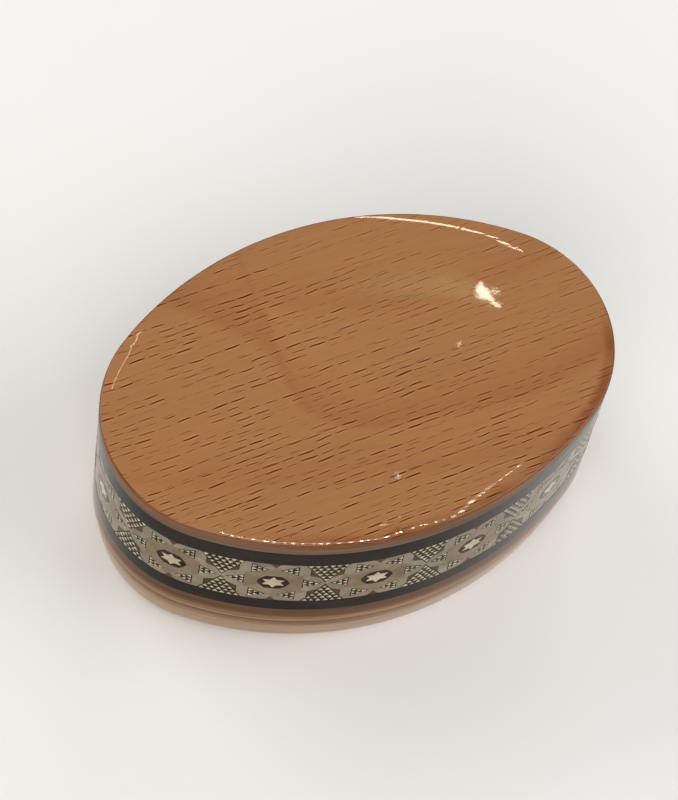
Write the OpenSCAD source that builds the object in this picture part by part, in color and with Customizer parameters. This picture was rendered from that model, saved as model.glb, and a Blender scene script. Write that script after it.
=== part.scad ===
// Oval jewelry box in beech with a khatam band round its deep lid, sizes in millimetres.
// The origin is the middle of the underside, X runs along the box, Y to the hinge at the back and Z up.

/* [Outline] */
// Length of the lid over its ends
box_length = 119; // [90:1:180]
// Width of the lid from front to back
box_width = 79; // [62:1:116]

/* [Base] */
// Height of the base from the table to the seam
base_height = 12.2; // [11:0.1:24]
// How far the base stands in from the lid at the seam
base_step = 0.6; // [0.3:0.1:2]
// Radius of the swelling side of the base, seen in section
base_side_radius = 60; // [36:1:120]
// Chamfer round the underside
base_chamfer = 1.2; // [0.6:0.1:2.5]
// Thickness of the floor
base_floor = 4.5; // [3:0.1:7]

/* [Lid] */
// Gap at the seam when the lid is down
seam_gap = 0.3; // [0.2:0.05:0.8]
// Height of the beech rim at the bottom of the lid
rim_height = 7.3; // [5.5:0.1:12]
// Ease on the lower outer edge of the rim
rim_ease = 0.4; // [0.2:0.1:1.2]
// Thickness of the wooden walls of the lid and the base, measured from the lid's outline
wall = 7.2; // [6.8:0.1:11]
// Thickness of the top board
top_thickness = 5.2; // [4:0.1:10]
// Radius of the top board's edge
top_edge_radius = 0.6; // [0.4:0.1:3]
// Width of the softly crowned margin of the top board
crown_width = 9; // [5:0.5:14]
// How far the crowned margin falls towards the edge
crown_drop = 0.5; // [0.2:0.05:1]

/* [Khatam band] */
// Height of the lower black strip
lower_strip = 5.2; // [2:0.1:8]
// Height of the khatam band, which sets the size of its flowers
khatam_height = 20.3; // [14:0.1:28]
// Height of the upper black strip
upper_strip = 6.3; // [2:0.1:8]
// Thickness of the black strips, and of khatam and backing together
strip_thickness = 2; // [1.6:0.1:3]
// Thickness of the khatam itself
khatam_thickness = 1.2; // [0.6:0.1:1.4]
// Place of one flower along the outline, from the middle of the front towards +X
flower_place = 15.7; // [-12:0.1:16]
// Line of the ground left between the inlaid pieces
inlay_line = 0.42; // [0.38:0.02:0.5]
// Glue line between curved faces
glue_line = 0.05; // [0.02:0.01:0.1]

/* [Lining] */
// Thickness of the velvet on the walls
velvet = 0.8; // [0.4:0.1:1.5]
// Thickness of the padded floor and ceiling
pad = 2; // [1:0.1:3]
// Beech left bare above the lining of the base and below the lining of the lid
bare_lip = 1.2; // [0.5:0.1:3]

/* [Hinge] */
// Length of the hinge along its pin
hinge_length = 30; // [20:1:40]
// How far the leaves reach in over the wall
leaf_reach = 6; // [4:0.1:6.5]
// Thickness of a leaf
leaf_thickness = 0.9; // [0.6:0.1:1.2]
// Diameter of the knuckles
knuckle_d = 3; // [2.6:0.1:4]
// Diameter of the pin
pin_d = 1.6; // [1.2:0.1:1.8]
// Clearance of the pin in the knuckles, on the radius
pin_clearance = 0.05; // [0.03:0.01:0.08]
// Clearance between the knuckles and what turns past them
knuckle_clearance = 0.3; // [0.2:0.05:0.5]
// Side gap between two knuckles
knuckle_gap = 0.2; // [0.1:0.05:0.4]
// Distance between the two screws of a leaf
screw_spacing = 18; // [12:0.5:24]
// Diameter of a screw's shank
screw_d = 1.4; // [1:0.1:1.8]
// Diameter of a screw's head
screw_head_d = 2.6; // [2:0.1:3.2]
// Length of a screw
screw_length = 4.6; // [3:0.1:5]
// Clearance round screws and leaves in the wood
fit_gap = 0.05; // [0.03:0.01:0.15]

/* [Hidden] */
$fn = 96;
half_length = box_length / 2;
half_width = box_width / 2;
// The outline is the old 3-4-5 oval: two end arcs and two side arcs, tangent where they meet.
unit = (half_length - half_width) / 2;
end_x = 3 * unit;
side_y = 4 * unit;
end_radius = half_length - end_x;
side_radius = half_width + side_y;
join_cos = 0.6;
join_sin = 0.8;
end_half_angle = atan2(join_sin, join_cos);
side_half_angle = 90 - end_half_angle;
past = 1.1;
// How far a swept edge laps over the plate or ring that it belongs to
lap = 1;
// The rounded edge meets the faces beside it at a slight arris
soft_arris = 1.02;
half_end = end_radius * end_half_angle * PI / 180;
half_side = side_radius * side_half_angle * PI / 180;
perimeter = 4 * (half_end + half_side);

// Heights
rim_bottom = base_height + seam_gap;
rim_top = rim_bottom + rim_height;
khatam_bottom = rim_top + lower_strip;
khatam_top = khatam_bottom + khatam_height;
board_bottom = khatam_top + upper_strip;
box_height = board_bottom + top_thickness;

// Layers of the wall, as insets from the outline
core_inset = strip_thickness + glue_line;
lining_inset = wall + glue_line;
pad_inset = lining_inset + velvet + glue_line;
crown_radius = (crown_width * crown_width + crown_drop * crown_drop) / (2 * crown_drop);
foot_inset = base_step + base_chamfer + base_side_radius
    - sqrt(pow(base_side_radius, 2) - pow(base_height - base_chamfer, 2));

// Khatam flower: a six-pointed star as tall as the band. Whole flowers go round, and the ends of
// the strip meet opposite the placed one, with one more pair of fields between them.
pitch = khatam_height * 2 / sqrt(3);
flowers = floor(perimeter / pitch);
heart_apothem = 0.255 * pitch;
heart_radius = heart_apothem * 2 / sqrt(3);
eye_radius = 0.148 * pitch;
star_radius = 0.12 * pitch;
point_radius = 0.25 * pitch / sqrt(3);
point_middle = heart_apothem + inlay_line + point_radius / 2;
field_radius = 0.45 * pitch / sqrt(3);
field_height = khatam_height / 2 - inlay_line - field_radius / 2;
inlay_depth = khatam_thickness + 1.5;
khatam_middle = khatam_bottom + khatam_height / 2;
first_flower = flower_place - (flowers - 1) / 2 * pitch;
flower_places = [for (i = [0:flowers - 1]) first_flower + i * pitch];
field_places = concat([for (i = [1:flowers - 1]) first_flower + (i - 0.5) * pitch],
                      [flower_place + perimeter / 2]);

// Hinge
axis_y = half_width + knuckle_d / 2 + knuckle_clearance;
axis_z = base_height + seam_gap / 2;
leaf_inner_y = half_width - leaf_reach;
leaf_offset = seam_gap / 2;
knuckles = 5;
knuckle_pitch = hinge_length / knuckles;
bore_d = pin_d + 2 * pin_clearance;
screw_y = half_width - leaf_reach / 2 - 0.4;
head_height = (screw_head_d - screw_d) / 2;

beech = [0.65, 0.47, 0.32];
plain_wood = [0.72, 0.6, 0.44];
black = [0.13, 0.11, 0.1];
grey_bone = [0.6, 0.56, 0.5];
bone = [0.78, 0.72, 0.62];
tan_wood = [0.55, 0.44, 0.3];
velvet_red = [0.36, 0.05, 0.08];
brass = [0.75, 0.6, 0.3];

// Right-hand wedge between the two joins, seen from the middle of an end arc
module end_wedge(r) {
    polygon([[0, 0], [join_cos * r / join_cos * past, -join_sin * r / join_cos * past],
             [join_cos * r / join_cos * past, join_sin * r / join_cos * past]]);
}

// Back wedge between the two joins and behind the X axis, seen from the middle of the back arc
module side_wedge(r) {
    polygon([[-end_x, side_y], [end_x, side_y], [join_cos * r / join_sin * past, r * past],
             [-join_cos * r / join_sin * past, r * past]]);
}

// The oval, inset by the given distance: the side arcs between the joins, and the end arcs as whole discs
module oval(inset) {
    intersection() {
        translate([0, -side_y]) circle(side_radius - inset);
        translate([0, side_y]) circle(side_radius - inset);
        square([2 * (end_x + join_cos * (end_radius - inset)), box_width], center = true);
    }
    for (x = [-end_x, end_x]) translate([x, 0]) circle(end_radius - inset);
}

module oval_ring(outer, inner, bottom, top) {
    translate([0, 0, bottom]) linear_extrude(top - bottom) difference() {
        oval(outer);
        oval(inner);
    }
}

module oval_plate(inset, bottom, top) {
    translate([0, 0, bottom]) linear_extrude(top - bottom) oval(inset);
}

// Sweeps a section round the outline: x is the way out from the outline, y is the height.
// The section reaches a little way in over the plate or ring that it edges.
module oval_sweep() {
    for (m = [0, 1]) mirror([m, 0, 0]) translate([end_x, 0, 0]) intersection() {
        rotate_extrude() translate([end_radius, 0]) children();
        linear_extrude(box_height * past) end_wedge(end_radius);
    }
    for (m = [0, 1]) mirror([0, m, 0]) translate([0, -side_y, 0]) intersection() {
        rotate_extrude() translate([side_radius, 0]) children();
        linear_extrude(box_height * past) side_wedge(side_radius);
    }
}

// Where the outline is, s along it from the middle of the front towards +X: [arc middle, radius, angle]
function outline_at(s) =
    s < half_side ? [[0, side_y], side_radius, -90 + s / side_radius * 180 / PI] :
    s < half_side + 2 * half_end ?
        [[end_x, 0], end_radius, (s - half_side) / end_radius * 180 / PI - end_half_angle] :
    s < 3 * half_side + 2 * half_end ?
        [[0, -side_y], side_radius, 90 + (s - 2 * half_side - 2 * half_end) / side_radius * 180 / PI] :
    s < 3 * half_side + 4 * half_end ?
        [[-end_x, 0], end_radius, 180 + (s - perimeter + half_side + half_end) / end_radius * 180 / PI] :
    [[0, side_y], side_radius, -90 + (s - perimeter) / side_radius * 180 / PI];

// Stands a flat piece of inlay on the band, s along the outline and h above the band's middle
module inlay(s, h) {
    at = outline_at((s + 2 * perimeter) % perimeter);
    translate([at[0][0], at[0][1], khatam_middle + h]) rotate([0, 0, at[2]])
        translate([at[1] - inlay_depth, 0, 0]) rotate([90, 0, 90])
            linear_extrude(2 * inlay_depth) children();
}

module hexagon(r, turn) {
    rotate(turn) circle(r, $fn = 6);
}

module triangle(r, turn) {
    rotate(turn) circle(r, $fn = 3);
}

module heart_blanks() {
    for (s = flower_places) inlay(s, 0) hexagon(heart_radius, 30);
}

module eye_blanks() {
    for (s = flower_places) inlay(s, 0) hexagon(eye_radius, 0);
}

module star_blanks() {
    for (s = flower_places) inlay(s, 0) {
        triangle(star_radius, 90);
        triangle(star_radius, -90);
    }
}

module point_blanks() {
    for (s = flower_places) for (t = [0:60:300])
        inlay(s + point_middle * cos(t), point_middle * sin(t)) triangle(point_radius, t);
}

module field_blanks() {
    for (s = field_places) for (up = [-1, 1])
        inlay(s, up * field_height) triangle(field_radius, -90 * up);
}

module khatam_sheet() {
    oval_ring(0, khatam_thickness, khatam_bottom, khatam_top);
}

module khatam_ground() color(grey_bone) difference() {
    khatam_sheet();
    heart_blanks();
    point_blanks();
    field_blanks();
}

module khatam_points() color(black) intersection() {
    khatam_sheet();
    point_blanks();
}

module khatam_fields() color(black) intersection() {
    khatam_sheet();
    field_blanks();
}

module khatam_hearts() color(tan_wood) difference() {
    intersection() {
        khatam_sheet();
        heart_blanks();
    }
    eye_blanks();
}

module khatam_eyes() color(black) difference() {
    intersection() {
        khatam_sheet();
        eye_blanks();
    }
    star_blanks();
}

module khatam_stars() color(bone) intersection() {
    khatam_sheet();
    star_blanks();
}

module khatam_backing() color(plain_wood)
    oval_ring(khatam_thickness + glue_line, strip_thickness, khatam_bottom, khatam_top);

module lower_black_strip() color(black) oval_ring(0, strip_thickness, rim_top, khatam_bottom);

module upper_black_strip() color(black) oval_ring(0, strip_thickness, khatam_top, board_bottom);

module lid_wall_core() color(plain_wood) oval_ring(core_inset, wall, rim_top, board_bottom);

// Section of the top board: flat in the middle, crowned near the edge, then rounded
module top_board_section() {
    crown_z = box_height - crown_radius;
    edge_z = crown_z + sqrt(pow(crown_radius, 2) - pow(crown_width - top_edge_radius, 2)) - top_edge_radius;
    difference() {
        translate([-crown_width - lap, board_bottom]) square([crown_width + lap, top_thickness]);
        difference() {
            translate([-crown_width, board_bottom]) square([crown_width + 1, top_thickness + 1]);
            translate([-crown_width, crown_z]) circle(crown_radius);
        }
        difference() {
            translate([-top_edge_radius, edge_z]) square(2 * top_edge_radius);
            translate([-top_edge_radius, edge_z]) circle(top_edge_radius * soft_arris);
        }
    }
}

module lid_top_board() color(beech) {
    oval_plate(crown_width, board_bottom, box_height);
    oval_sweep() top_board_section();
}

module lid_rim() color(beech) difference() {
    union() {
        oval_ring(rim_ease, wall, rim_bottom, rim_top);
        oval_sweep() polygon([[-rim_ease - lap, rim_bottom], [-rim_ease, rim_bottom], [0, rim_bottom + rim_ease],
                              [0, rim_top], [-rim_ease - lap, rim_top]]);
    }
    mortise(rim_bottom - 1, rim_bottom + leaf_thickness);
    screw_holes(rim_bottom, 1);
}

// Section of the base: a slow swell from the seam to the chamfered underside
module base_section() {
    intersection() {
        polygon([[-foot_inset - lap, 0], [-foot_inset, 0], [base_chamfer - foot_inset, base_chamfer],
                 [-base_step, base_chamfer], [-base_step, base_height], [-foot_inset - lap, base_height]]);
        translate([-base_step - base_side_radius, base_height]) circle(base_side_radius);
    }
}

module base_tray() color(beech) difference() {
    union() {
        oval_plate(foot_inset, 0, base_height);
        oval_sweep() base_section();
    }
    oval_plate(wall, base_floor, base_height + 1);
    mortise(base_height - leaf_thickness, base_height + 1);
    screw_holes(base_height, -1);
}

module base_wall_lining() color(velvet_red)
    oval_ring(lining_inset, lining_inset + velvet, base_floor, base_height - bare_lip);

module base_floor_pad() color(velvet_red) oval_plate(pad_inset, base_floor, base_floor + pad);

module lid_wall_lining() color(velvet_red)
    oval_ring(lining_inset, lining_inset + velvet, rim_bottom + bare_lip, board_bottom);

module lid_ceiling_pad() color(velvet_red) oval_plate(pad_inset, board_bottom - pad, board_bottom);

// Shallow recess that takes a hinge leaf
module mortise(bottom, top) {
    translate([-hinge_length / 2 - fit_gap, leaf_inner_y - fit_gap, bottom])
        cube([hinge_length + 2 * fit_gap, leaf_reach * 2, top - bottom]);
}

module along_x(d, length) {
    rotate([0, 90, 0]) cylinder(d = d, h = length, center = true);
}

// Knuckles of one leaf, every second one from the first
module knuckle_row(first, d, extra) {
    for (i = [first:2:knuckles - 1])
        translate([(i - (knuckles - 1) / 2) * knuckle_pitch, axis_y, axis_z])
            along_x(d, knuckle_pitch - knuckle_gap + extra);
}

// One leaf with its knuckles; way is 1 for the lid and -1 for the base
module hinge_leaf(first, way) {
    plate_bottom = way > 0 ? axis_z + leaf_offset : axis_z - leaf_offset - leaf_thickness;
    difference() {
        union() {
            difference() {
                translate([-hinge_length / 2, leaf_inner_y, plate_bottom])
                    cube([hinge_length, axis_y - leaf_inner_y, leaf_thickness]);
                knuckle_row(1 - first, knuckle_d + 2 * knuckle_clearance, 2 * knuckle_gap);
            }
            knuckle_row(first, knuckle_d, 0);
        }
        translate([0, axis_y, axis_z]) along_x(bore_d, hinge_length * past);
        for (x = [-screw_spacing / 2, screw_spacing / 2])
            translate([x, screw_y, way > 0 ? rim_bottom : base_height]) mirror([0, 0, way > 0 ? 0 : 1])
                screw(fit_gap);
    }
}

module hinge_base_leaf() color(brass) hinge_leaf(0, -1);

module hinge_lid_leaf() color(brass) hinge_leaf(1, 1);

module hinge_pin() color(brass) translate([0, axis_y, axis_z]) along_x(pin_d, hinge_length);

// Countersunk screw pointing up from its head, or the hole for it when it is grown
module screw(grow) {
    translate([0, 0, -grow]) cylinder(d1 = screw_head_d + 2 * grow, d2 = screw_d + 2 * grow, h = head_height + grow);
    cylinder(d = screw_d + 2 * grow, h = screw_length + grow);
}

module screw_holes(face, way) {
    for (x = [-screw_spacing / 2, screw_spacing / 2])
        translate([x, screw_y, face]) mirror([0, 0, way > 0 ? 0 : 1]) screw(fit_gap);
}

module screws(face, way) {
    for (x = [-screw_spacing / 2, screw_spacing / 2])
        translate([x, screw_y, face]) mirror([0, 0, way > 0 ? 0 : 1]) screw(0);
}

module base_hinge_screws() color(brass) screws(base_height, -1);

module lid_hinge_screws() color(brass) screws(rim_bottom, 1);

base_tray();
base_wall_lining();
base_floor_pad();
hinge_base_leaf();
hinge_pin();
base_hinge_screws();
lid_rim();
lid_wall_core();
lid_top_board();
lower_black_strip();
upper_black_strip();
khatam_backing();
khatam_ground();
khatam_points();
khatam_fields();
khatam_hearts();
khatam_eyes();
khatam_stars();
lid_wall_lining();
lid_ceiling_pad();
hinge_lid_leaf();
lid_hinge_screws();
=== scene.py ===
import math
import random

import bpy
from mathutils import Matrix, Vector


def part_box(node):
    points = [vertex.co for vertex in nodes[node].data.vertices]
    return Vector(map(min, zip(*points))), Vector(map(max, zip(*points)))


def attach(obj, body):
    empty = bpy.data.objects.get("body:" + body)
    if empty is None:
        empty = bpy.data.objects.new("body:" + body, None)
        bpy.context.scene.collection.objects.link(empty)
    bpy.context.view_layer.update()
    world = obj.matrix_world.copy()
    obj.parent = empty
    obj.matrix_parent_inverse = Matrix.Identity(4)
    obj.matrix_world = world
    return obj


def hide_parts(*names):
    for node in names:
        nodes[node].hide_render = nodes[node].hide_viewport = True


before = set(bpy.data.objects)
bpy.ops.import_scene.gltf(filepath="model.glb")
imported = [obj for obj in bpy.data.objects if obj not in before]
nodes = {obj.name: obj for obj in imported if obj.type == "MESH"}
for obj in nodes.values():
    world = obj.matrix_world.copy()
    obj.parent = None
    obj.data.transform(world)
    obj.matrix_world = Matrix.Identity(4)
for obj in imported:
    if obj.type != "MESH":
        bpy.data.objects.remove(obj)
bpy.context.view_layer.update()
MM = 0.001

# Sizes that the scene shares with the solids, in mm
HALF_LENGTH = 59.5
HALF_WIDTH = 39.5
TOP = 56.8
KHATAM_BOTTOM = 25.0
KHATAM_TOP = 45.3
KHATAM_THICKNESS = 1.2
FLOWER_PLACE = 15.7
LINING_INSET = 7.25
VELVET = 0.8

# The 3-4-5 oval
UNIT = (HALF_LENGTH - HALF_WIDTH) / 2
END_X = 3 * UNIT
SIDE_Y = 4 * UNIT
END_R = HALF_LENGTH - END_X
SIDE_R = HALF_WIDTH + SIDE_Y
END_ANGLE = math.atan2(0.8, 0.6)
SIDE_ANGLE = math.pi / 2 - END_ANGLE
HALF_END = END_R * END_ANGLE
HALF_SIDE = SIDE_R * SIDE_ANGLE
PERIMETER = 4 * (HALF_END + HALF_SIDE)


def outline(s, inset=0.0):
    """Point and outward normal of the oval at the length s from the middle of the front towards +X, in mm."""
    s %= PERIMETER
    if s > PERIMETER / 2:
        x, y, nx, ny = outline(PERIMETER - s, inset)
        return -x, y, -nx, ny
    if s <= HALF_SIDE:
        turn, middle, radius = -math.pi / 2 + s / SIDE_R, (0, SIDE_Y), SIDE_R
    elif s <= HALF_SIDE + 2 * HALF_END:
        turn, middle, radius = -END_ANGLE + (s - HALF_SIDE) / END_R, (END_X, 0), END_R
    else:
        turn, middle, radius = math.pi / 2 - (PERIMETER / 2 - s) / SIDE_R, (0, -SIDE_Y), SIDE_R
    nx, ny = math.cos(turn), math.sin(turn)
    return middle[0] + (radius - inset) * nx, middle[1] + (radius - inset) * ny, nx, ny


# Materials

def srgb(r, g, b):
    """A colour written in 0 to 255 as a screen shows it, as linear RGBA."""
    def linear(c):
        c /= 255
        return c / 12.92 if c <= 0.04045 else ((c + 0.055) / 1.055) ** 2.4
    return linear(r), linear(g), linear(b), 1.0


class Shader:
    """A material's node tree with short calls for the nodes that are used here."""

    def __init__(self, name):
        self.material = bpy.data.materials.new(name)
        self.material.use_nodes = True
        self.tree = self.material.node_tree
        self.tree.nodes.clear()
        self.bsdf = self.add("ShaderNodeBsdfPrincipled")
        output = self.add("ShaderNodeOutputMaterial")
        self.tree.links.new(self.bsdf.outputs["BSDF"], output.inputs["Surface"])
        here = self.add("ShaderNodeTexCoord").outputs
        self.place, self.normal = here["Object"], here["Normal"]

    def feed(self, socket, value):
        """Link a socket to another one's value, or set a constant on it."""
        if isinstance(value, bpy.types.NodeSocket):
            self.tree.links.new(value, socket)
        else:
            socket.default_value = value

    def set(self, node, inputs):
        for key, value in inputs.items():
            self.feed(node.inputs[key], value)

    def add(self, kind, inputs=None, **settings):
        node = self.tree.nodes.new(kind)
        for key, value in settings.items():
            setattr(node, key, value)
        self.set(node, inputs or {})
        return node

    def surface(self, **inputs):
        self.set(self.bsdf, {key.replace("_", " "): value for key, value in inputs.items()})

    def scaled(self, scale, turn=0.0, vector=None, shift=(0, 0, 0)):
        node = self.add("ShaderNodeMapping", {"Vector": vector or self.place, "Scale": scale,
                                              "Rotation": (0, 0, turn), "Location": shift})
        return node.outputs["Vector"]

    def noise(self, vector, scale=1.0, detail=3.0, rough=0.5, warp=0.0):
        node = self.add("ShaderNodeTexNoise", {"Vector": vector, "Scale": scale, "Detail": detail,
                                               "Roughness": rough, "Distortion": warp})
        return node.outputs["Fac"]

    def math(self, operation, *values):
        node = self.add("ShaderNodeMath", operation=operation)
        self.set(node, dict(enumerate(values)))
        return node.outputs[0]

    def vector(self, operation, *values):
        node = self.add("ShaderNodeVectorMath", operation=operation)
        self.set(node, dict(enumerate(values)))
        return node.outputs["Value" if operation == "LENGTH" else "Vector"]

    def span(self, value, low, high, to_low=0.0, to_high=1.0, kind="SMOOTHSTEP"):
        node = self.add("ShaderNodeMapRange", {"Value": value, "From Min": low, "From Max": high,
                                               "To Min": to_low, "To Max": to_high}, interpolation_type=kind)
        return node.outputs["Result"]

    def mix(self, share, a, b):
        node = self.add("ShaderNodeMix", data_type="RGBA", blend_type="MIX", clamp_factor=True)
        for name, value in (("Factor_Float", share), ("A_Color", a), ("B_Color", b)):
            self.feed(next(i for i in node.inputs if i.identifier == name), value)
        return next(o for o in node.outputs if o.identifier == "Result_Color")

    def ramp(self, value, stops):
        node = self.add("ShaderNodeValToRGB", {"Fac": value})
        band = node.color_ramp.elements
        while len(band) < len(stops):
            band.new(1.0)
        for element, (position, grey) in zip(band, stops):
            element.position = position
            element.color = (grey, grey, grey, 1)
        return node.outputs["Color"]

    def lighter(self, colour, amount, strength):
        """The colour times 1 + strength * (amount - 0.5) * 2, with amount from 0 to 1."""
        factor = self.span(amount, 0, 1, 1 - strength, 1 + strength, "LINEAR")
        colour = colour if isinstance(colour, bpy.types.NodeSocket) else colour[:3]
        node = self.add("ShaderNodeVectorMath", {0: colour, "Scale": factor}, operation="SCALE")
        return node.outputs["Vector"]

    def axes(self, vector):
        return self.add("ShaderNodeSeparateXYZ", {"Vector": vector}).outputs

    def gloss(self, straight, grazing):
        """Weight of a thin coat that shows more where the face is seen at a low angle."""
        facing = self.add("ShaderNodeLayerWeight", {"Blend": 0.5}).outputs["Facing"]
        return self.span(facing, 0.6, 0.86, straight, grazing)

    def bump(self, height, distance, strength=1.0):
        inputs = {"Height": height, "Distance": distance, "Strength": strength}
        return self.add("ShaderNodeBump", inputs).outputs["Normal"]


GRAIN_TURN = math.radians(-4.5)
# Ray flecks: how far they lean along a wall for its height, how far rows sway in metres, by how many steps rows are
# shifted at most, and how quickly the chains of dashes change along a row and from row to row
FLECK_LEAN, FLECK_SWAY, FLECK_SHIFT, FLECK_CHAINS = 2.5, 0.0009, 9, (0.27, 3.71, 1)
# Width of a mark by the dash's own, and where it is full: the dashes themselves, and the pale flanks beside them
DASH, FLANK = (1.0, 0.65), (3.0, 0.35)


def flecks(sh, step, half, chain, faint, shift, marks):
    """Ray flecks: dashes strung end to end along the grain, in rows with long breaks, which wrap over the edges.

    step and half are the dashes' spacing and half size along and across, in mm. chain is where a row starts to carry
    dashes and where it is full of them, and faint is the strength of the faintest. Gives one share for each of the
    marks."""
    x, y, z = sh.axes(sh.place)
    sway = sh.noise(sh.scaled((130, 130, 130), shift=shift), detail=2)
    along = sh.math("MULTIPLY_ADD", z, FLECK_LEAN, x)
    across = sh.math("ADD", sh.math("ADD", y, z), sh.math("MULTIPLY", sway, FLECK_SWAY))
    flat = sh.add("ShaderNodeCombineXYZ", {"X": along, "Y": across}).outputs["Vector"]
    turned = sh.scaled((1, 1, 1), GRAIN_TURN, flat)
    u, v, _ = sh.axes(sh.scaled([1 / (MM * c) for c in step] + [1], 0, turned, shift))
    row = sh.math("FLOOR", v)
    start = sh.add("ShaderNodeTexWhiteNoise", {"W": row}, noise_dimensions="1D").outputs
    u = sh.math("MULTIPLY_ADD", start["Value"], FLECK_SHIFT, u)
    cell = sh.math("FLOOR", u)
    place = sh.add("ShaderNodeCombineXYZ", {"X": cell, "Y": row}).outputs["Vector"]
    dice = sh.add("ShaderNodeTexWhiteNoise", {"Vector": place}, noise_dimensions="2D")
    chance = sh.axes(dice.outputs["Color"])
    string = sh.noise(sh.scaled(FLECK_CHAINS, 0, place, shift), detail=1)
    du = sh.math("SUBTRACT", sh.math("FRACT", u), sh.span(chance["X"], 0, 1, 0.44, 0.56, "LINEAR"))
    middle = sh.math("ADD", sh.span(sh.axes(start["Color"])["Y"], 0, 1, 0.32, 0.56, "LINEAR"),
                     sh.span(chance["Y"], 0, 1, 0, 0.12, "LINEAR"))
    dv = sh.math("SUBTRACT", sh.math("FRACT", v), middle)
    size = sh.span(chance["Z"], 0, 1, 0.6, 1.15, "LINEAR")
    strength = sh.math("MULTIPLY", sh.span(string, *chain),
                       sh.span(dice.outputs["Value"], 0, 0.7, faint, 1.0, "LINEAR"))
    shares = []
    for wide, full in marks:
        away = sh.add("ShaderNodeCombineXYZ", {"X": sh.math("MULTIPLY", du, step[0] / half[0]),
                                               "Y": sh.math("MULTIPLY", dv, step[1] / half[1] / wide)})
        spot = sh.math("DIVIDE", sh.vector("LENGTH", away.outputs["Vector"]), size)
        shares.append(sh.math("MULTIPLY", sh.span(spot, 1.0, full), strength))
    return shares


# Growth-ring lines on the lid as (x, y) in mm from left to right, and how red each is
RINGS = [
    ([(-60, 38), (-45, 33), (-33.7, 27.6), (-26, 20.5), (-20, 14), (-17.2, 8), (-16.2, 2), (-15.2, -4), (-11.2, -8.6),
      (-1.9, -13), (11.9, -14.9), (30, -16.1), (42, -14.8), (50.6, -12.4), (60, -9)], 0.85),
    ([(-60, 39), (-36, 33), (-20, 25), (-8, 19.5), (5, 15.5), (20, 11.5), (30, 11), (45, 14), (60, 18)], 0.5),
    ([(-60, -10), (-53.7, -12.4), (-30, -19.3), (-10, -23.6), (5, -26.3), (20, -28.2), (32.5, -28.8), (60, -26)], 0.5)]
# Curves are drawn in -REACH to REACH, so the share by which a ring's slope narrows it is drawn STEEP times as large
REACH, STEEP = 60, 50


def curve(sh, value, points):
    """A smooth curve through (x, y) points that lie in -REACH to REACH."""
    node = sh.add("ShaderNodeFloatCurve", {"Value": sh.span(value, -REACH, REACH, 0, 1, "LINEAR")})
    handles = node.mapping.curves[0].points
    while len(handles) < len(points):
        handles.new(0.5, 0.5)
    for handle, (x, y) in zip(handles, points):
        handle.location = ((x + REACH) / (2 * REACH), (y + REACH) / (2 * REACH))
    node.mapping.update()
    return sh.span(node.outputs["Value"], 0, 1, -REACH, REACH, "LINEAR")


def rings(sh):
    """How red the wood is: sharp on the lower side of each growth ring, fading over some millimetres above it."""
    x, y, _ = sh.axes(sh.vector("MULTIPLY", sh.place, (1 / MM, 1 / MM, 1 / MM)))
    wobble = sh.span(sh.noise(sh.scaled((70, 150, 60)), detail=4, rough=0.6), 0, 1, -2.2, 2.2, "LINEAR")
    total = None
    for line, share in RINGS:
        steep = []
        for k, (px, _) in enumerate(line):
            a, b = line[max(0, k - 1)], line[min(len(line) - 1, k + 1)]
            steep.append((px, STEEP / math.hypot(1, (b[1] - a[1]) / (b[0] - a[0]))))
        away = sh.math("ADD", sh.math("SUBTRACT", y, curve(sh, x, line)), wobble)
        away = sh.math("MULTIPLY", away, sh.math("MULTIPLY", curve(sh, x, steep), 1 / STEEP))
        red = sh.ramp(sh.span(away, -3, 15, 0, 1, "LINEAR"),
                      [(0.0, 0.0), (0.08, 0.0), (0.24, 0.62), (0.36, 0.5), (0.65, 0.2), (1.0, 0.0)])
        red = sh.math("MULTIPLY", red, share)
        total = sh.math("MAXIMUM", total, red) if total else red
    return total


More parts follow.
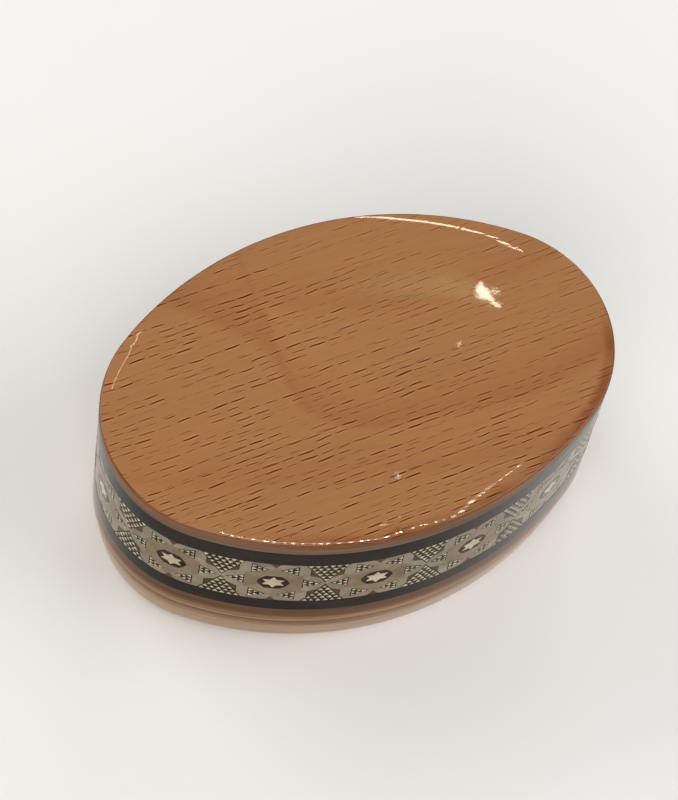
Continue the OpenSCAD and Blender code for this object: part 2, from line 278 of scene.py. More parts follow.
def beech(name, base, red, side, fleck, figure=True, shift=(0, 0, 0), lacquer=(1.0, 0.2, 0.8), edge=None, painted_light=None,
          seam_shade=None):
    """Lacquered steamed beech with its grain along X: fibres, ray flecks, reddish growth rings and darker sides,
    partly the wood's side grain and partly painted shade.

    figure draws the lid's growth rings, and shift moves the grain. lacquer is the coat on flat faces, and on the sides
    seen straight and at a low angle. edge is the colour of the rounded edge, its darker red partly the finish and end
    grain and partly painted shade. painted_light is (from z, to z, colour) on the sides, painted light that moves
    their colour towards the given one between these heights, and seam_shade is the height where a painted shadow line
    starts and where it ends, with heights in mm."""
    sh = Shader(name)
    x, y, z = sh.axes(sh.place)
    level = sh.math("DIVIDE", z, MM)
    fibre = sh.noise(sh.scaled((45, 900, 900), GRAIN_TURN, shift=shift), detail=4, rough=0.6)
    fine = sh.noise(sh.scaled((260, 5200, 5200), GRAIN_TURN, shift=shift), detail=2)
    cloud = sh.noise(sh.scaled((28, 60, 60), shift=shift), detail=2)
    colour = sh.mix(rings(sh), base, red) if figure else sh.mix(cloud, base, red)
    colour = sh.lighter(colour, fibre, 0.11)
    colour = sh.lighter(colour, fine, 0.06)
    colour = sh.lighter(colour, cloud, 0.07)
    upright = sh.math("ABSOLUTE", sh.axes(sh.normal)["Z"])
    # Painted light on the sides: their colour moves towards painted_light's colour between its two heights
    wall = sh.mix(sh.span(level, painted_light[0], painted_light[1]), side, painted_light[2]) if painted_light else side
    streak = sh.noise(sh.scaled((35, 35, 1300), shift=shift), detail=4, rough=0.65)
    wall = sh.lighter(sh.lighter(wall, streak, 0.75), fibre, 0.15)
    # The sides take the darker side colour: partly the wood's side grain, partly painted shade
    colour = sh.mix(sh.span(upright, 0.9, 0.3), colour, wall)
    if edge:
        # The rounded edge turns darker red: partly its finish and end grain, partly painted shade
        bend = sh.math("MULTIPLY", sh.span(upright, 0.995, 0.9), sh.span(upright, 0.1, 0.6))
        patchy = sh.span(sh.noise(sh.scaled((130, 130, 130)), detail=3), 0.3, 0.65, 0.45, 0.95)
        colour = sh.mix(sh.math("MULTIPLY", bend, patchy), colour, edge)
        # A stain on the crown at the front and a little to the right
        toward = sh.span(sh.math("MULTIPLY_ADD", y, -0.95, sh.math("MULTIPLY", x, 0.3)), 0.017, 0.027)
        stain = sh.math("MULTIPLY", sh.span(upright, 0.9976, 0.9957), sh.span(upright, 0.2, 0.6))
        stain = sh.math("MULTIPLY", sh.math("MULTIPLY", stain, toward), patchy)
        colour = sh.mix(stain, colour, STAIN)
    large, flank = flecks(sh, (4.3, 1.55), (2.4, 0.225), (0.435, 0.515), 0.55, (40.3, 40.1, 0), (DASH, FLANK))
    small, = flecks(sh, (4.1, 2.6), (1.8, 0.14), (0.42, 0.52), 0.0, (70.7, 60.4, 0), (DASH,))
    seen = sh.math("MULTIPLY", sh.span(upright, 0.15, 0.6), sh.span(sh.math("ADD", x, y), 0.007, 0.043, 1.0, 0.62))
    colour = sh.lighter(colour, sh.span(sh.math("MULTIPLY", flank, seen), 0, 1, 0.5, 1, "LINEAR"), 0.32)
    colour = sh.mix(sh.math("MULTIPLY", small, sh.math("MULTIPLY", seen, 0.55)), colour, fleck)
    colour = sh.mix(sh.math("MULTIPLY", large, seen), colour, fleck)
    # Painted shadow under the rim's overhang: a patchy dark line on the tray just below the seam
    if seam_shade:
        patchy = sh.span(sh.noise(sh.scaled((45, 45, 45)), detail=3), 0.32, 0.62, 0.3, 1.0)
        seam_shade_share = sh.math("MULTIPLY", sh.span(level, seam_shade[1], seam_shade[0]), patchy)
        colour = sh.mix(sh.math("MULTIPLY", seam_shade_share, 0.45), colour, SEAM_SHADE_COLOUR)
    wave = sh.noise(sh.scaled((110, 110, 110)), detail=1)
    peel = sh.noise(sh.scaled((1700, 1700, 1700)), detail=0)
    sheen = sh.bump(sh.math("MULTIPLY_ADD", peel, 0.045, wave), 0.000006)
    grain = sh.bump(sh.math("SUBTRACT", fibre, large), 0.00004, 0.4)
    coat = sh.span(upright, 0.2, 0.75, sh.gloss(*lacquer[1:]), lacquer[0])
    sh.surface(Base_Color=colour, Roughness=sh.span(fibre, 0.2, 0.8, 0.42, 0.58, "LINEAR"), Normal=grain,
               Coat_Weight=coat, Coat_Roughness=0.015, Coat_IOR=1.5, Coat_Normal=sheen, Specular_IOR_Level=0.0)
    return sh.material


def inlay(name, colour, other, spread, scale, streak):
    """A lacquered inlay: each tile has its own tone, and bone or wood fibre runs across it."""
    sh = Shader(name)
    tone = sh.add("ShaderNodeAttribute", attribute_name="tone").outputs["Fac"]
    fibre = sh.noise(sh.scaled(scale), detail=3, rough=0.6)
    cloud = sh.noise(sh.scaled((240, 240, 240)), detail=2)
    base = sh.mix(sh.span(cloud, 0.3, 0.7), colour, other)
    base = sh.lighter(base, tone, spread)
    base = sh.lighter(base, fibre, streak)
    peel = sh.noise(sh.scaled((300, 300, 300)), detail=2)
    sh.surface(Base_Color=base, Roughness=sh.span(fibre, 0.2, 0.8, 0.4, 0.55, "LINEAR"),
               Coat_Weight=sh.gloss(0.18, 0.8), Coat_Roughness=0.05, Coat_IOR=1.5, Specular_IOR_Level=0.0,
               Coat_Normal=sh.bump(peel, 0.00002))
    return sh.material


def black_lacquer(name):
    sh = Shader(name)
    fibre = sh.noise(sh.scaled((60, 60, 1500)), detail=4, rough=0.6)
    cloud = sh.noise(sh.scaled((70, 70, 110)), detail=3)
    colour = sh.mix(sh.span(cloud, 0.35, 0.75), srgb(32, 23, 18), srgb(50, 38, 31))
    colour = sh.lighter(colour, fibre, 0.35)
    wave = sh.noise(sh.scaled((90, 90, 160)), detail=2)
    sh.surface(Base_Color=colour, Roughness=sh.span(fibre, 0.2, 0.8, 0.4, 0.6, "LINEAR"),
               Coat_Weight=sh.gloss(0.18, 0.8), Coat_Roughness=0.06, Coat_IOR=1.5, Specular_IOR_Level=0.0,
               Normal=sh.bump(fibre, 0.00005, 0.5), Coat_Normal=sh.bump(wave, 0.00003))
    return sh.material


def velvet(name):
    sh = Shader(name)
    pile = sh.noise(sh.scaled((5200, 5200, 5200)), detail=2)
    nap = sh.noise(sh.scaled((85, 85, 85)), detail=3, warp=0.6)
    colour = sh.mix(sh.span(nap, 0.3, 0.7), srgb(96, 12, 22), srgb(134, 24, 36))
    colour = sh.lighter(colour, pile, 0.3)
    sh.surface(Base_Color=colour, Roughness=0.95, Sheen_Weight=0.8, Sheen_Roughness=0.4,
               Sheen_Tint=srgb(226, 120, 124), Specular_IOR_Level=0.15, Normal=sh.bump(pile, 0.0003, 0.7))
    return sh.material


def brass(name):
    sh = Shader(name)
    scratch = sh.noise(sh.scaled((300, 6000, 6000)), detail=3, rough=0.65)
    tarnish = sh.noise(sh.scaled((420, 420, 420)), detail=3)
    colour = sh.mix(sh.span(tarnish, 0.42, 0.72), srgb(214, 176, 96), srgb(160, 116, 58))
    sh.surface(Base_Color=colour, Metallic=1.0, Roughness=sh.span(scratch, 0.25, 0.75, 0.2, 0.42, "LINEAR"),
               Normal=sh.bump(scratch, 0.00003, 0.4))
    return sh.material


def floor_material(name):
    sh = Shader(name)
    mottle = sh.noise(sh.scaled((9, 9, 9)), detail=3)
    sh.surface(Base_Color=sh.mix(mottle, srgb(246, 245, 243), srgb(250, 249, 248)), Roughness=0.9,
               Specular_IOR_Level=0.1)
    return sh.material


BEECH = srgb(167, 116, 73)
BEECH_RED = srgb(151, 94, 54)
FLECK = srgb(84, 30, 0)
STAIN = srgb(132, 76, 41)
# Colour of the painted shadow line under the rim
SEAM_SHADE_COLOUR = srgb(46, 26, 14)
# The top board's sides turn greyer at their lower edge: a painted highlight
top_beech = beech("beech_top", BEECH, BEECH_RED, srgb(122, 85, 58), FLECK, edge=srgb(112, 60, 32),
                  lacquer=(1.0, 0.12, 0.4), painted_light=(54.6, 52.0, srgb(113, 92, 80)))
# The rim's sides turn lighter towards their lower edge: a painted highlight of light from the floor
rim_beech = beech("beech_rim", srgb(140, 92, 58), BEECH_RED, srgb(100, 69, 46), FLECK, figure=False,
                  shift=(0.02, 0.05, 0.03), lacquer=(0.3, 0.2, 0.8), painted_light=(17.0, 12.8, srgb(158, 124, 94)))
# The tray's sides turn lighter towards the bottom: painted light bounced from the floor
base_beech = beech("beech_base", srgb(164, 120, 82), BEECH_RED, srgb(126, 92, 66), FLECK, figure=False,
                   shift=(0.05, 0.02, 0.01), lacquer=(0.3, 0.2, 0.8), painted_light=(11.5, 6.0, srgb(166, 138, 110)),
                   seam_shade=(11.8, 10.2))
raw_beech = beech("beech_raw", srgb(196, 152, 108), srgb(184, 134, 92), srgb(190, 146, 104), FLECK, figure=False,
                  lacquer=(0.0, 0.0, 0.0))
black_wood = black_lacquer("black_lacquer")
black_tile = inlay("khatam_black", srgb(32, 25, 16), srgb(48, 38, 24), 0.3, (900, 900, 2600), 0.2)
dark_tile = inlay("khatam_dark", srgb(26, 17, 7), srgb(46, 32, 15), 0.25, (900, 900, 2600), 0.25)
bone_tile = inlay("khatam_bone", srgb(200, 188, 160), srgb(182, 169, 139), 0.16, (700, 700, 2400), 0.1)
grey_tile = inlay("khatam_grey", srgb(147, 135, 118), srgb(131, 118, 100), 0.16, (500, 500, 2200), 0.14)
tan_tile = inlay("khatam_tan", srgb(136, 119, 92), srgb(122, 105, 78), 0.12, (400, 400, 2600), 0.16)
taupe_tile = inlay("khatam_taupe", srgb(141, 125, 104), srgb(127, 110, 90), 0.12, (400, 400, 2600), 0.16)
maroon_tile = inlay("khatam_maroon", srgb(92, 66, 52), srgb(78, 54, 42), 0.2, (600, 600, 2600), 0.2)
velvet_cloth = velvet("velvet_red")
brass_metal = brass("hinge_brass")

for node, material in {
        "lid_top_board": top_beech, "lid_rim": rim_beech, "base_tray": base_beech, "lid_wall_core": raw_beech,
        "khatam_backing": raw_beech, "lower_black_strip": black_wood, "upper_black_strip": black_wood,
        "hinge_base_leaf": brass_metal, "hinge_lid_leaf": brass_metal, "hinge_pin": brass_metal,
        "base_hinge_screws": brass_metal, "lid_hinge_screws": brass_metal}.items():
    nodes[node].data.materials.clear()
    nodes[node].data.materials.append(material)


# Khatam mosaic: tiles are drawn flat in (s, h), s along the band and h from its middle, then bent round the oval

PITCH = (KHATAM_TOP - KHATAM_BOTTOM) * 2 / math.sqrt(3)
HALF_BAND = (KHATAM_TOP - KHATAM_BOTTOM) / 2
KHATAM_MIDDLE = (KHATAM_TOP + KHATAM_BOTTOM) / 2
FLOWERS = math.floor(PERIMETER / PITCH)
FIRST = FLOWER_PLACE - (FLOWERS - 1) / 2 * PITCH
SLAB = 1.0
# Rows of bone rods in a field and in a point, and the sizes of the figures in mm
FIELD_ROWS, POINT_ROWS = 6, 3
FIELD_ROD, FIELD_RISE, FIELD_HALF = 0.068 * PITCH, 0.0645 * PITCH, 0.214 * PITCH
FIELD_EDGE = 0.1
POINT_ROD = 0.061 * PITCH
LINE = 0.0065 * PITCH
SEAM_WIDTH = 0.007 * PITCH
HEART = 0.28 * PITCH
STRIP = 0.345 * PITCH
STAR = 0.122 * PITCH
EYE = 0.15 * PITCH
EYE_TIP = 0.162 * PITCH
NOTCH, NOTCH_DEPTH = 0.053 * PITCH, 0.094 * PITCH
FIELD_TIP = 0.02 * PITCH
# Depths of the layers under the finished face: the sheet, the seams and pieces on it, the bone on those
SHEET, SEAM, PIECE, BONE = 0.06, 0.045, 0.03, 0.0
# How much of its place a bone rod fills, and how far it is off the middle along and across
ROD_SHARE, ROD_OFF = (0.62, 0.84), (0.07, 0.05)
# Points closer than this are one, and smaller polygons are nothing
SAME_POINT, NO_AREA = 1e-5, 1e-4
rng = random.Random(8063)


def ray(radius, degrees):
    return radius * math.cos(math.radians(degrees)), radius * math.sin(math.radians(degrees))


def clip(points, a, b, c):
    """The part of a convex polygon where a * x + b * y <= c."""
    kept = []
    for (x0, y0), (x1, y1) in zip(points, points[1:] + points[:1]):
        d0, d1 = a * x0 + b * y0 - c, a * x1 + b * y1 - c
        if d0 <= 0:
            kept.append((x0, y0))
        if d0 * d1 < 0:
            t = d0 / (d0 - d1)
            kept.append((x0 + t * (x1 - x0), y0 + t * (y1 - y0)))
    return kept


def clean(points):
    """The polygon without doubled points, anticlockwise, or an empty list where nothing is left of it."""
    out = []
    for p in points:
        if not out or math.dist(p, out[-1]) > SAME_POINT:
            out.append(p)
    if len(out) > 1 and math.dist(out[0], out[-1]) <= SAME_POINT:
        out.pop()
    area = sum(x0 * y1 - x1 * y0 for (x0, y0), (x1, y1) in zip(out, out[1:] + out[:1])) / 2
    if len(out) < 3 or abs(area) < NO_AREA:
        return []
    return out if area > 0 else out[::-1]


class Mosaic:
    """Closed tiles that become one mesh, with a material and a tone for each tile."""

    def __init__(self, name, materials):
        self.name, self.materials = name, materials
        self.points, self.faces, self.normals, self.slots, self.tones = [], [], [], [], []

    def tile(self, polygon, slot, top, bottom, tone=None):
        polygon = clean(polygon)
        if not polygon:
            return
        tone = rng.random() if tone is None else tone
        low = math.floor(min(p[0] for p in polygon) / SLAB + 1e-6)
        high = math.ceil(max(p[0] for p in polygon) / SLAB - 1e-6)
        pieces = []
        for k in range(low, high):
            piece = clean(clip(clip(polygon, -1, 0, -k * SLAB), 1, 0, (k + 1) * SLAB))
            if piece:
                pieces.append(piece)
        found = {}

        def corner(p, depth):
            key = (round(p[0], 4), round(p[1], 4), depth)
            if key not in found:
                x, y, _, _ = outline(p[0], depth)
                found[key] = len(self.points)
                self.points.append((x * MM, y * MM, (KHATAM_MIDDLE + p[1]) * MM))
            return found[key]

        def face(corners, normals):
            self.faces.append(corners)
            self.normals.append(normals)
            self.slots.append(slot)
            self.tones.append(tone)

        edges = {}
        for piece in pieces:
            out = [(*outline(p[0])[2:], 0.0) for p in piece]
            face([corner(p, top) for p in piece], out)
            face([corner(p, bottom) for p in piece[::-1]], [(-n[0], -n[1], 0.0) for n in out[::-1]])
            for a, b in zip(piece, piece[1:] + piece[:1]):
                ka, kb = (round(a[0], 4), round(a[1], 4)), (round(b[0], 4), round(b[1], 4))
                if (kb, ka) in edges:
                    del edges[(kb, ka)]
                else:
                    edges[(ka, kb)] = (a, b)
        for a, b in edges.values():
            corners = [corner(b, top), corner(a, top), corner(a, bottom), corner(b, bottom)]
            p = [Vector(self.points[c]) for c in corners]
            normal = (p[2] - p[0]).cross(p[3] - p[1])
            normal = tuple(normal.normalized()) if normal.length > 0 else (0.0, 0.0, 1.0)
            face(corners, [normal] * 4)

    def build(self, *replaced, slot):
        mesh = bpy.data.meshes.new(self.name)
        mesh.from_pydata(self.points, [], self.faces)
        for material in self.materials:
            mesh.materials.append(material)
        mesh.polygons.foreach_set("material_index", self.slots)
        mesh.attributes.new("tone", "FLOAT", "FACE").data.foreach_set("value", self.tones)
        mesh.polygons.foreach_set("use_smooth", [True] * len(self.faces))
        mesh.normals_split_custom_set([n for face in self.normals for n in face])
        piece = bpy.data.objects.new(self.name, mesh)
        bpy.context.scene.collection.objects.link(piece)
        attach(piece, "lid")
        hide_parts(*replaced)


def worn(polygon):
    """A bone rod as the hand left it: a little smaller than its place, and not quite in the middle of it."""
    share = rng.uniform(*ROD_SHARE)
    cx = sum(p[0] for p in polygon) / len(polygon)
    cy = sum(p[1] for p in polygon) / len(polygon)
    dx, dy = (rng.uniform(-off, off) for off in ROD_OFF)
    return [(cx + dx + (x - cx) * share, cy + dy + (y - cy) * share) for x, y in polygon]


def rods(origin, along, up, rows, side, rise):
    """The bone rods of a stepped triangle: small triangles in rows, from its base to its apex."""
    triangles = []
    for row in range(rows):
        for k in range(rows - row):
            start = k + row / 2
            corners = [(start * side, row * rise), ((start + 1) * side, row * rise),
                       ((start + 0.5) * side, (row + 1) * rise)]
            triangles.append([(origin[0] + a * along[0] + b * up[0], origin[1] + a * along[1] + b * up[1])
                              for a, b in corners])
    return triangles


sheet = Mosaic("khatam_sheet", [grey_tile, maroon_tile, dark_tile])
hearts = Mosaic("khatam_heart_tiles", [tan_tile, taupe_tile])
eyes = Mosaic("khatam_eye_tiles", [dark_tile])
stars = Mosaic("khatam_star_tiles", [bone_tile])
points = Mosaic("khatam_point_tiles", [black_tile, bone_tile])
fields = Mosaic("khatam_field_tiles", [black_tile, bone_tile])
GREY, MAROON, DARK = 0, 1, 2
BLACK, WHITE = 0, 1
TAN, TAUPE = 0, 1
CONCAVE = STRIP / math.cos(math.radians(30))


def in_cell(polygon):
    """The part of a polygon round a flower that lies in its length of the band."""
    for a, b, c in ((1, 0, PITCH / 2), (-1, 0, PITCH / 2), (0, 1, HALF_BAND), (0, -1, HALF_BAND)):
        polygon = clip(polygon, a, b, c)
    return polygon


def flower(s):
    def put(mosaic, polygon, slot, top, bottom, tone=None):
        mosaic.tile([(x + s, y) for x, y in polygon], slot, top, bottom, tone)

    for t in range(0, 360, 60):
        # Sheet: the hexagon under the heart, the star's points, and what is left at the corners and edges
        put(sheet, [(0, 0), ray(CONCAVE, t - 30), ray(CONCAVE, t + 30)], GREY, SHEET, KHATAM_THICKNESS)
        middle = ray(STRIP, t)
        tip = ray(2 * STRIP, t)
        put(sheet, in_cell([ray(CONCAVE, t - 30), tip, middle]), GREY, SHEET, KHATAM_THICKNESS)
        put(sheet, in_cell([middle, tip, ray(CONCAVE, t + 30)]), GREY, SHEET, KHATAM_THICKNESS)
        # Seams along the outer edges of the strips
        for turn in (-1, 1):
            inward = ray(-SEAM_WIDTH, t + 60 * turn)
            edge = [ray(CONCAVE, t + 30 * turn), tip]
            put(sheet, in_cell(edge + [(x + inward[0], y + inward[1]) for x, y in edge[::-1]]), DARK, SEAM, SHEET)
        # Heart
        for turn in (-1, 1):
            put(hearts, [ray(EYE, t + 30 * turn), ray(EYE_TIP, t), ray(HEART, t),
                         ray(HEART / math.cos(math.radians(30)), t + 30 * turn)],
                TAN if t % 180 == 0 else TAUPE, PIECE, SHEET, 0.5 + 0.25 * math.sin(t + s))
        # Eye and star
        put(eyes, [(0, 0), ray(EYE, t - 30), ray(EYE_TIP, t), ray(EYE, t + 30)], 0, PIECE, SHEET)
        put(stars, [(0, 0), ray(STAR / math.sqrt(3), t), ray(STAR, t + 30), ray(STAR / math.sqrt(3), t + 60)],
            0, BONE, PIECE, 0.35 + 0.3 * rng.random())
        # Point
        side = POINT_ROWS * POINT_ROD + 2 * math.sqrt(3) * LINE
        out, across = ray(1, t), ray(1, t + 90)
        base = [(HEART * out[0] + k * side / 2 * across[0], HEART * out[1] + k * side / 2 * across[1])
                for k in (-1, 1)]
        put(points, [base[0], ray(HEART + side * math.sqrt(3) / 2, t), base[1]], BLACK, PIECE, SHEET)
        start = [(HEART + LINE) * out[k] - POINT_ROWS / 2 * POINT_ROD * across[k] for k in (0, 1)]
        for rod in rods(start, across, out, POINT_ROWS, POINT_ROD, POINT_ROD * math.sqrt(3) / 2):
            put(points, worn(rod), WHITE, BONE, PIECE)
    for up in (-1, 1):
        reach = (math.sqrt(3) / 2 * HALF_BAND - STRIP) * 2
        put(sheet, [(0, up * CONCAVE), (reach, up * HALF_BAND), (-reach, up * HALF_BAND)],
            GREY, SHEET, KHATAM_THICKNESS)
        put(sheet, [(0, up * (HALF_BAND - NOTCH_DEPTH)), (NOTCH, up * HALF_BAND), (-NOTCH, up * HALF_BAND)],
            MAROON, PIECE, SHEET)
        for k in (-1, 1):
            low = (STRIP - PITCH / 4) * 2 / math.sqrt(3)
            put(sheet, [(k * STRIP, up * CONCAVE / 2), (k * PITCH / 2, up * low),
                        (k * PITCH / 2, up * HALF_BAND), (k * STRIP, up * HALF_BAND)], MAROON, SHEET, KHATAM_THICKNESS)


def field_pair(s):
    for up in (-1, 1):
        fields.tile([(s, up * FIELD_TIP), (s + FIELD_HALF, up * HALF_BAND), (s - FIELD_HALF, up * HALF_BAND)],
                    BLACK, PIECE, SHEET)
        start = s - FIELD_ROWS / 2 * FIELD_ROD, up * (HALF_BAND - FIELD_EDGE)
        for rod in rods(start, (1, 0), (0, -up), FIELD_ROWS, FIELD_ROD, FIELD_RISE):
            fields.tile(worn(rod), WHITE, BONE, PIECE)


places = [FIRST + i * PITCH for i in range(FLOWERS)]
for place in places:
    flower(place)
for place in places[1:]:
    field_pair(place - PITCH / 2)
JOINT = FLOWER_PLACE + PERIMETER / 2
spare = (PERIMETER - FLOWERS * PITCH) / 2
sheet.tile([(JOINT - spare, -HALF_BAND), (JOINT + spare, -HALF_BAND), (JOINT + spare, HALF_BAND),
            (JOINT - spare, HALF_BAND)], GREY, SHEET, KHATAM_THICKNESS)
field_pair(JOINT)
sheet.build("khatam_ground", slot="grey_bone")
hearts.build("khatam_hearts", slot="tan_wood")
eyes.build("khatam_eyes", slot="black_wood")
stars.build("khatam_stars", slot="bone")
points.build("khatam_points", slot="black_wood")
fields.build("khatam_fields", slot="black_wood")


# Velvet: linings stretched round the walls, and padded boards in the floor and ceiling

def finish_soft(name, points, faces, body, node):
    mesh = bpy.data.meshes.new(name)
    mesh.from_pydata(points, [], faces)
    mesh.materials.append(velvet_cloth)
    mesh.polygons.foreach_set("use_smooth", [True] * len(faces))
    piece = bpy.data.objects.new(name, mesh)
    bpy.context.scene.collection.objects.link(piece)
    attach(piece, body)
    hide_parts(node)
    return piece


# Points round the oval
ROUND = 240
# Width of a lining's hem and depth of its ripples in mm, and the share of the thickness that a single layer has
HEM, RIPPLE, SINGLE = 3.55, 0.06, 0.7
# Gap between a board and the lining and width of its crown in mm, and depth of its dimples as a share of its height
PAD_GAP, PAD_CROWN, PAD_DIMPLE = 0.05, 20.5, 0.05


def lining(name, body, node):
    """A strip of velvet round the wall: a closed ring, with the edge at the opening turned over as a hem."""
    low, high = (c.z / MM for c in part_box(node))
    rows = 16
    open_up = body == "base"
    section = [(LINING_INSET, low + (high - low) * k / rows) for k in range(rows + 1)]
    for k in range(rows, -1, -1):
        z = low + (high - low) * k / rows
        from_edge = high - z if open_up else z - low
        thick = VELVET if 0 < from_edge < HEM else VELVET * SINGLE
        section.append((LINING_INSET + thick, z))
    points, faces = [], []
    count = len(section)
    for i in range(ROUND):
        s = PERIMETER * i / ROUND
        for inset, z in section:
            ripple = 0.0
            if inset > LINING_INSET:
                ripple = RIPPLE * abs(math.sin(0.19 * s + 0.13 * z) * math.sin(0.41 * z))
            x, y, _, _ = outline(s, inset - ripple)
            points.append((x * MM, y * MM, z * MM))
    for i in range(ROUND):
        for j in range(count):
            a, b = i * count + j, i * count + (j + 1) % count
            c, d = ((i + 1) % ROUND) * count + (j + 1) % count, ((i + 1) % ROUND) * count + j
            faces.append((a, d, c, b))
    piece = finish_soft(name, points, faces, body, node)


def pad(name, body, node, face_up):
    """A padded board: flat where it is glued, crowned on its face, with its edge drawn in."""
    low, high = (c.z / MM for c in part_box(node))
    flat, crest = (low, high) if face_up else (high, low)
    edge = LINING_INSET + VELVET + PAD_GAP
    rings = 26
    levels = [(edge + 0.25, 0.0), (edge + 0.02, 0.18), (edge, 0.34)]
    for k in range(rings):
        t = k / (rings - 1)
        levels.append((edge + 0.1 + PAD_CROWN * t, 0.52 + 0.48 * math.sin(math.pi / 2 * min(1, 2.2 * t)) ** 0.8))
    points, faces = [], []
    for inset, share in levels:
        for i in range(ROUND):
            x, y, _, _ = outline(PERIMETER * i / ROUND, inset)
            dimple = PAD_DIMPLE * math.sin(0.33 * x + 0.8) * math.sin(0.29 * y) if share > 0.9 else 0.0
            points.append((x * MM, y * MM, (flat + (crest - flat) * max(0, share - abs(dimple))) * MM))
    for k in range(len(levels) - 1):
        for i in range(ROUND):
            j = (i + 1) % ROUND
            quad = (k * ROUND + i, k * ROUND + j, (k + 1) * ROUND + j, (k + 1) * ROUND + i)
            faces.append(quad if face_up else quad[::-1])
    last = (len(levels) - 1) * ROUND
    bottom, top = tuple(range(ROUND)), tuple(range(last, last + ROUND))
    faces += [bottom[::-1], top] if face_up else [bottom, top[::-1]]
    piece = finish_soft(name, points, faces, body, node)


lining("velvet_tray_wall", "base", "base_wall_lining")
lining("velvet_lid_wall", "lid", "lid_wall_lining")
pad("velvet_tray_floor", "base", "base_floor_pad", True)
pad("velvet_lid_ceiling", "lid", "lid_ceiling_pad", False)


# Camera at the photograph's place, floor and lights

AZIMUTH, ELEVATION, ROLL = (math.radians(a) for a in (-30.51, 64.0, 12.23))
TARGET = Vector((0, 0, 51.6 * MM))
DISTANCE, ACROSS, ALONG = 828.7 * MM, -4.25 * MM, -3.34 * MM
SENSOR, FOCAL_PIXELS, PICTURE_PIXELS = 36, 3700, 800
back = Vector((math.sin(AZIMUTH) * math.cos(ELEVATION), -math.cos(AZIMUTH) * math.cos(ELEVATION),
               math.sin(ELEVATION)))
level = Vector((math.cos(AZIMUTH), math.sin(AZIMUTH), 0))
upright = back.cross(level)
right = math.cos(ROLL) * level + math.sin(ROLL) * upright
up = math.cos(ROLL) * upright - math.sin(ROLL) * level
eye = TARGET + DISTANCE * back + ACROSS * right + ALONG * up
camera = bpy.data.objects.new("camera", bpy.data.cameras.new("camera"))
camera.data.sensor_width = SENSOR
camera.data.lens = FOCAL_PIXELS / PICTURE_PIXELS * SENSOR
camera.data.clip_start = 0.01
camera.matrix_world = Matrix.Translation(eye) @ Matrix((right, up, back)).transposed().to_4x4()
bpy.context.scene.collection.objects.link(camera)
bpy.context.scene.camera = camera

FLOOR, FLOOR_LEVEL = 3, -0.0002
floor_mesh = bpy.data.meshes.new("floor")
floor_mesh.from_pydata([(-FLOOR, -FLOOR, 0), (FLOOR, -FLOOR, 0), (FLOOR, FLOOR, 0), (-FLOOR, FLOOR, 0)], [],
                       [(0, 1, 2, 3)])
floor_mesh.materials.append(floor_material("floor_white"))
floor = bpy.data.objects.new("floor", floor_mesh)
floor.location.z = FLOOR_LEVEL
bpy.context.scene.collection.objects.link(floor)

scene = bpy.context.scene
scene.view_settings.view_transform = "Standard"
scene.world = bpy.data.worlds.new("studio")
scene.world.use_nodes = True
sky = scene.world.node_tree.nodes["Background"].inputs
sky["Color"].default_value = (1.0, 0.97, 0.92, 1)
sky["Strength"].default_value = 0.23


def panel(name, place, aim, size, radiance, colour=(1, 1, 1), along=(1, 0, 0)):
    """A soft panel light with the given radiance on its face, and its first side turned along a direction."""
    light = bpy.data.lights.new(name, "AREA")
    light.shape = "RECTANGLE"
    light.size, light.size_y = size
    light.energy = radiance * math.pi * size[0] * size[1]
    light.color = colour
    lamp = bpy.data.objects.new(name, light)
    z = (Vector(place) - Vector(aim)).normalized()
    x = (Vector(along) - z * z.dot(Vector(along))).normalized()
    lamp.matrix_world = Matrix.Translation(place) @ Matrix((x, z.cross(x), z)).transposed().to_4x4()
    bpy.context.scene.collection.objects.link(lamp)


# Tilt of the lid's crown in degrees by the distance from its edge, and the crown's level, in mm
CROWN_TILT = [(0.4, 5.35), (1.8, 4.9), (3.3, 4.05), (4.7, 2.95), (6.1, 2.0)]
CROWN_LEVEL = 56.5
# How far the lamps that show in the lacquer are, in metres, and the size of a reflection on the flat top by its lamp's
LAMP_FAR, FLAT_SHARE = 2.2, 0.268


def between(pairs, place):
    """The value at a place on a broken line of (place, value) pairs."""
    for (a, low), (b, high) in zip(pairs, pairs[1:]):
        if place <= b:
            break
    return low + (high - low) * (place - a) / (b - a)


def reflected(spot, normal):
    """The place of a lamp that the lacquer shows at a spot in mm."""
    spot = Vector(spot) * MM
    normal = Vector(normal).normalized()
    view = (eye - spot).normalized()
    return spot + LAMP_FAR * (2 * view.dot(normal) * normal - view)


def glint(name, spot, normal, size, radiance, colour, along=(1, 0, 0)):
    """A small lamp placed so that the lacquer shows its reflection at the given spot."""
    panel(name, reflected(spot, normal), Vector(spot) * MM, size, radiance, colour, along)


def crown_lamp(s, inset):
    """The place of a lamp that the crown shows at s along the edge, a distance from it."""
    x, y, nx, ny = outline(s, inset)
    tilt = math.tan(math.radians(between(CROWN_TILT, inset)))
    return reflected((x, y, CROWN_LEVEL), (nx * tilt, ny * tilt, 1))


def dash(name, path, start, end, width, radiance, colour):
    """A thin lamp that shows as a dash of light on the crown, on a path of (s, distance from the edge) in mm."""
    a, b = (crown_lamp(s, between(path, s)) for s in (start, end))
    middle = (start + end) / 2
    inner, outer = (crown_lamp(middle, between(path, middle) + k * width / 2) for k in (1, -1))
    size = (b - a).length, (inner - outer).length
    panel(name, (a + b) / 2, (0, 0, CROWN_LEVEL * MM), size, radiance, colour, b - a)


MIDDLE = (0, 0, 0.03)
panel("key", (-1.3, -1.5, 1.7), MIDDLE, (2.4, 2.0), 2.3, (1.0, 0.98, 0.95))
panel("fill", (1.6, -0.9, 1.6), MIDDLE, (2.0, 2.0), 2.2, (0.98, 0.99, 1.0))
panel("rear_left", (-1.3, 1.7, 1.3), MIDDLE, (2.0, 1.4), 2.65, (1.0, 0.99, 0.97))
panel("rear_right", (1.6, 1.9, 1.0), MIDDLE, (2.0, 1.0), 2.65, (1.0, 0.99, 0.97))

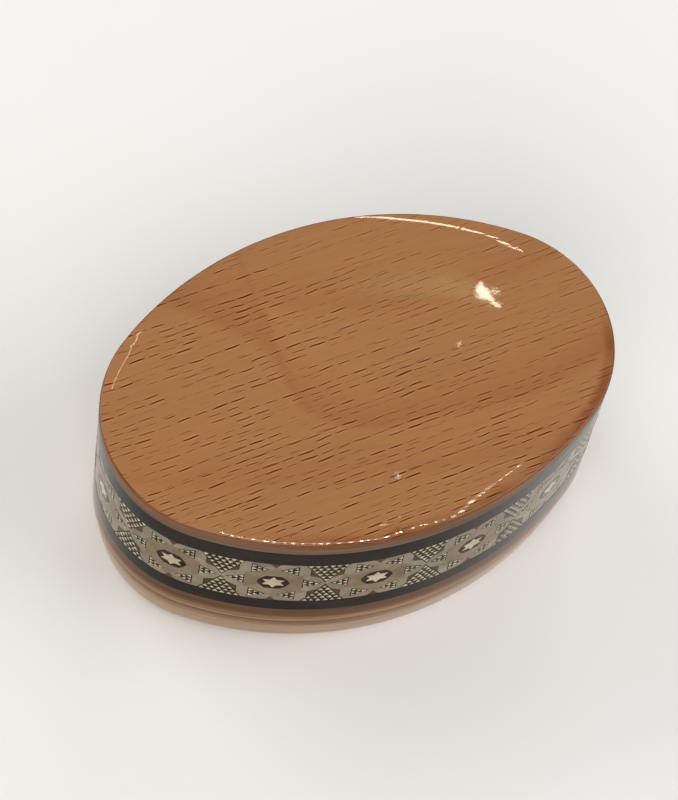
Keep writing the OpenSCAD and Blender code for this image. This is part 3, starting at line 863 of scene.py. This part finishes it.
# Reflections in the lacquer of the top: a ceiling lamp with specks and streaks, and the fan of light beside it
YELLOW, WARM, AMBER, GREENISH = (1.0, 0.96, 0.72), (1.0, 0.93, 0.76), (1.0, 0.84, 0.6), (0.5, 1.0, 0.46)
UP = (0, 0, 1)
LAMP_ALONG = (0.4, -0.92, 0)
glint("lamp_head", (33.7, 11.6, TOP), UP, (0.0105, 0.0085), 22, YELLOW, LAMP_ALONG)
glint("lamp_tail", (34.9, 8.9, TOP), UP, (0.011, 0.0042), 22, YELLOW, LAMP_ALONG)
glint("lamp_side", (36.6, 11.0, TOP), UP, (0.0052, 0.0022), 20, YELLOW, (0.8, -0.6, 0))
glint("lamp_drop", (36.1, 7.4, TOP), UP, (0.003, 0.002), 20, YELLOW)
glint("speck_front", (-0.3, -25.4, TOP), UP, (0.0015, 0.005), 12, WARM)
glint("speck_right", (23.8, 0.9, TOP), UP, (0.0035, 0.002), 16, WARM)
glint("streak_left", (-7.6, -35.6, 56.61), (-0.0063, -0.0694, 0.9976), (0.013, 0.014), 10, YELLOW)
glint("streak_right", (-3.2, -35.1, 56.67), (-0.0022, -0.0567, 0.9984), (0.004, 0.014), 7, YELLOW)
FAN, FIRST_BEAM, LAST_BEAM = Vector((31.0, 12.6, TOP)), Vector((-5.9, 9.8, 0)), Vector((-27.3, 8.7, 0))
BEAMS, BEAM_WIDTH, BEAM_RADIANCE = 5, 0.0155, 0.26
for k in range(BEAMS):
    beam = FIRST_BEAM.lerp(LAST_BEAM, k / (BEAMS - 1))
    size = beam.length * MM / FLAT_SHARE, BEAM_WIDTH
    glint(f"fan_{k}", FAN + beam / 2, UP, size, BEAM_RADIANCE, GREENISH, beam)

# Lines of light on the crown, as (s along the edge, distance from it) in mm: beads over a glow at the front, dashes at
# the back and a dim line at the left
FRONT_LINE = [(-44, 1.2), (-38, 1.3), (-29, 1.37), (-15, 1.28), (-9, 1.12), (-5, 0.94), (4.3, 1.0), (9.6, 1.7),
              (14, 2.5), (19.2, 3.05), (26.7, 3.45), (29, 3.5)]
# How much brighter the front line is by its place along the edge
FRONT_SHARE = [(-44, 1.1), (-40, 1.5), (-8, 1.6), (-4, 1.3), (8, 1.0), (12, 0.65), (29, 1.0)]
# Beads from the shortest, closest and dimmest to the longest, farthest apart and brightest
BEAD_LENGTH, BEAD_GAP, BEAD_RADIANCE = (0.3, 1.0), (0.5, 2.0), (6, 28)
BACK_LINE = [(104.8, 4.82), (107.5, 4.58), (110, 3.94), (111.4, 3.54), (114.1, 3.1), (120.4, 2.8), (127.2, 2.5),
             (134.2, 2.2), (139.3, 1.7), (144.4, 1.15)]
BACK_DASHES = [(104.8, 107.4), (108.1, 109.9), (111.4, 113.3), (114.1, 119.7), (120.3, 127.2), (127.2, 134.2),
               (134.2, 139.3), (139.3, 144.4)]
LEFT_LINE = [(-110.5, 1.69), (-106.6, 2.38), (-102.7, 2.82), (-97.2, 2.57), (-93.2, 2.15)]
for k, ((start, _), (end, _)) in enumerate(zip(FRONT_LINE, FRONT_LINE[1:])):
    radiance = 2.2 * between(FRONT_SHARE, end)
    dash(f"front_glow_{k}", FRONT_LINE, start, end, width=0.25, radiance=radiance, colour=WARM)
bead_rng = random.Random(47)
start = FRONT_LINE[0][0]
while start < FRONT_LINE[-1][0]:
    end = start + bead_rng.uniform(*BEAD_LENGTH)
    radiance = bead_rng.uniform(*BEAD_RADIANCE) * between(FRONT_SHARE, start)
    dash(f"front_bead_{start:.0f}", FRONT_LINE, start, end, width=0.27, radiance=radiance, colour=WARM)
    start = end + bead_rng.uniform(*BEAD_GAP)
for k, (start, end) in enumerate(BACK_DASHES):
    dash(f"back_{k}", BACK_LINE, start, end, width=0.28, radiance=17, colour=YELLOW)
for k, ((start, _), (end, _)) in enumerate(zip(LEFT_LINE, LEFT_LINE[1:])):
    dash(f"left_{k}", LEFT_LINE, start, end, width=0.16, radiance=11, colour=AMBER)
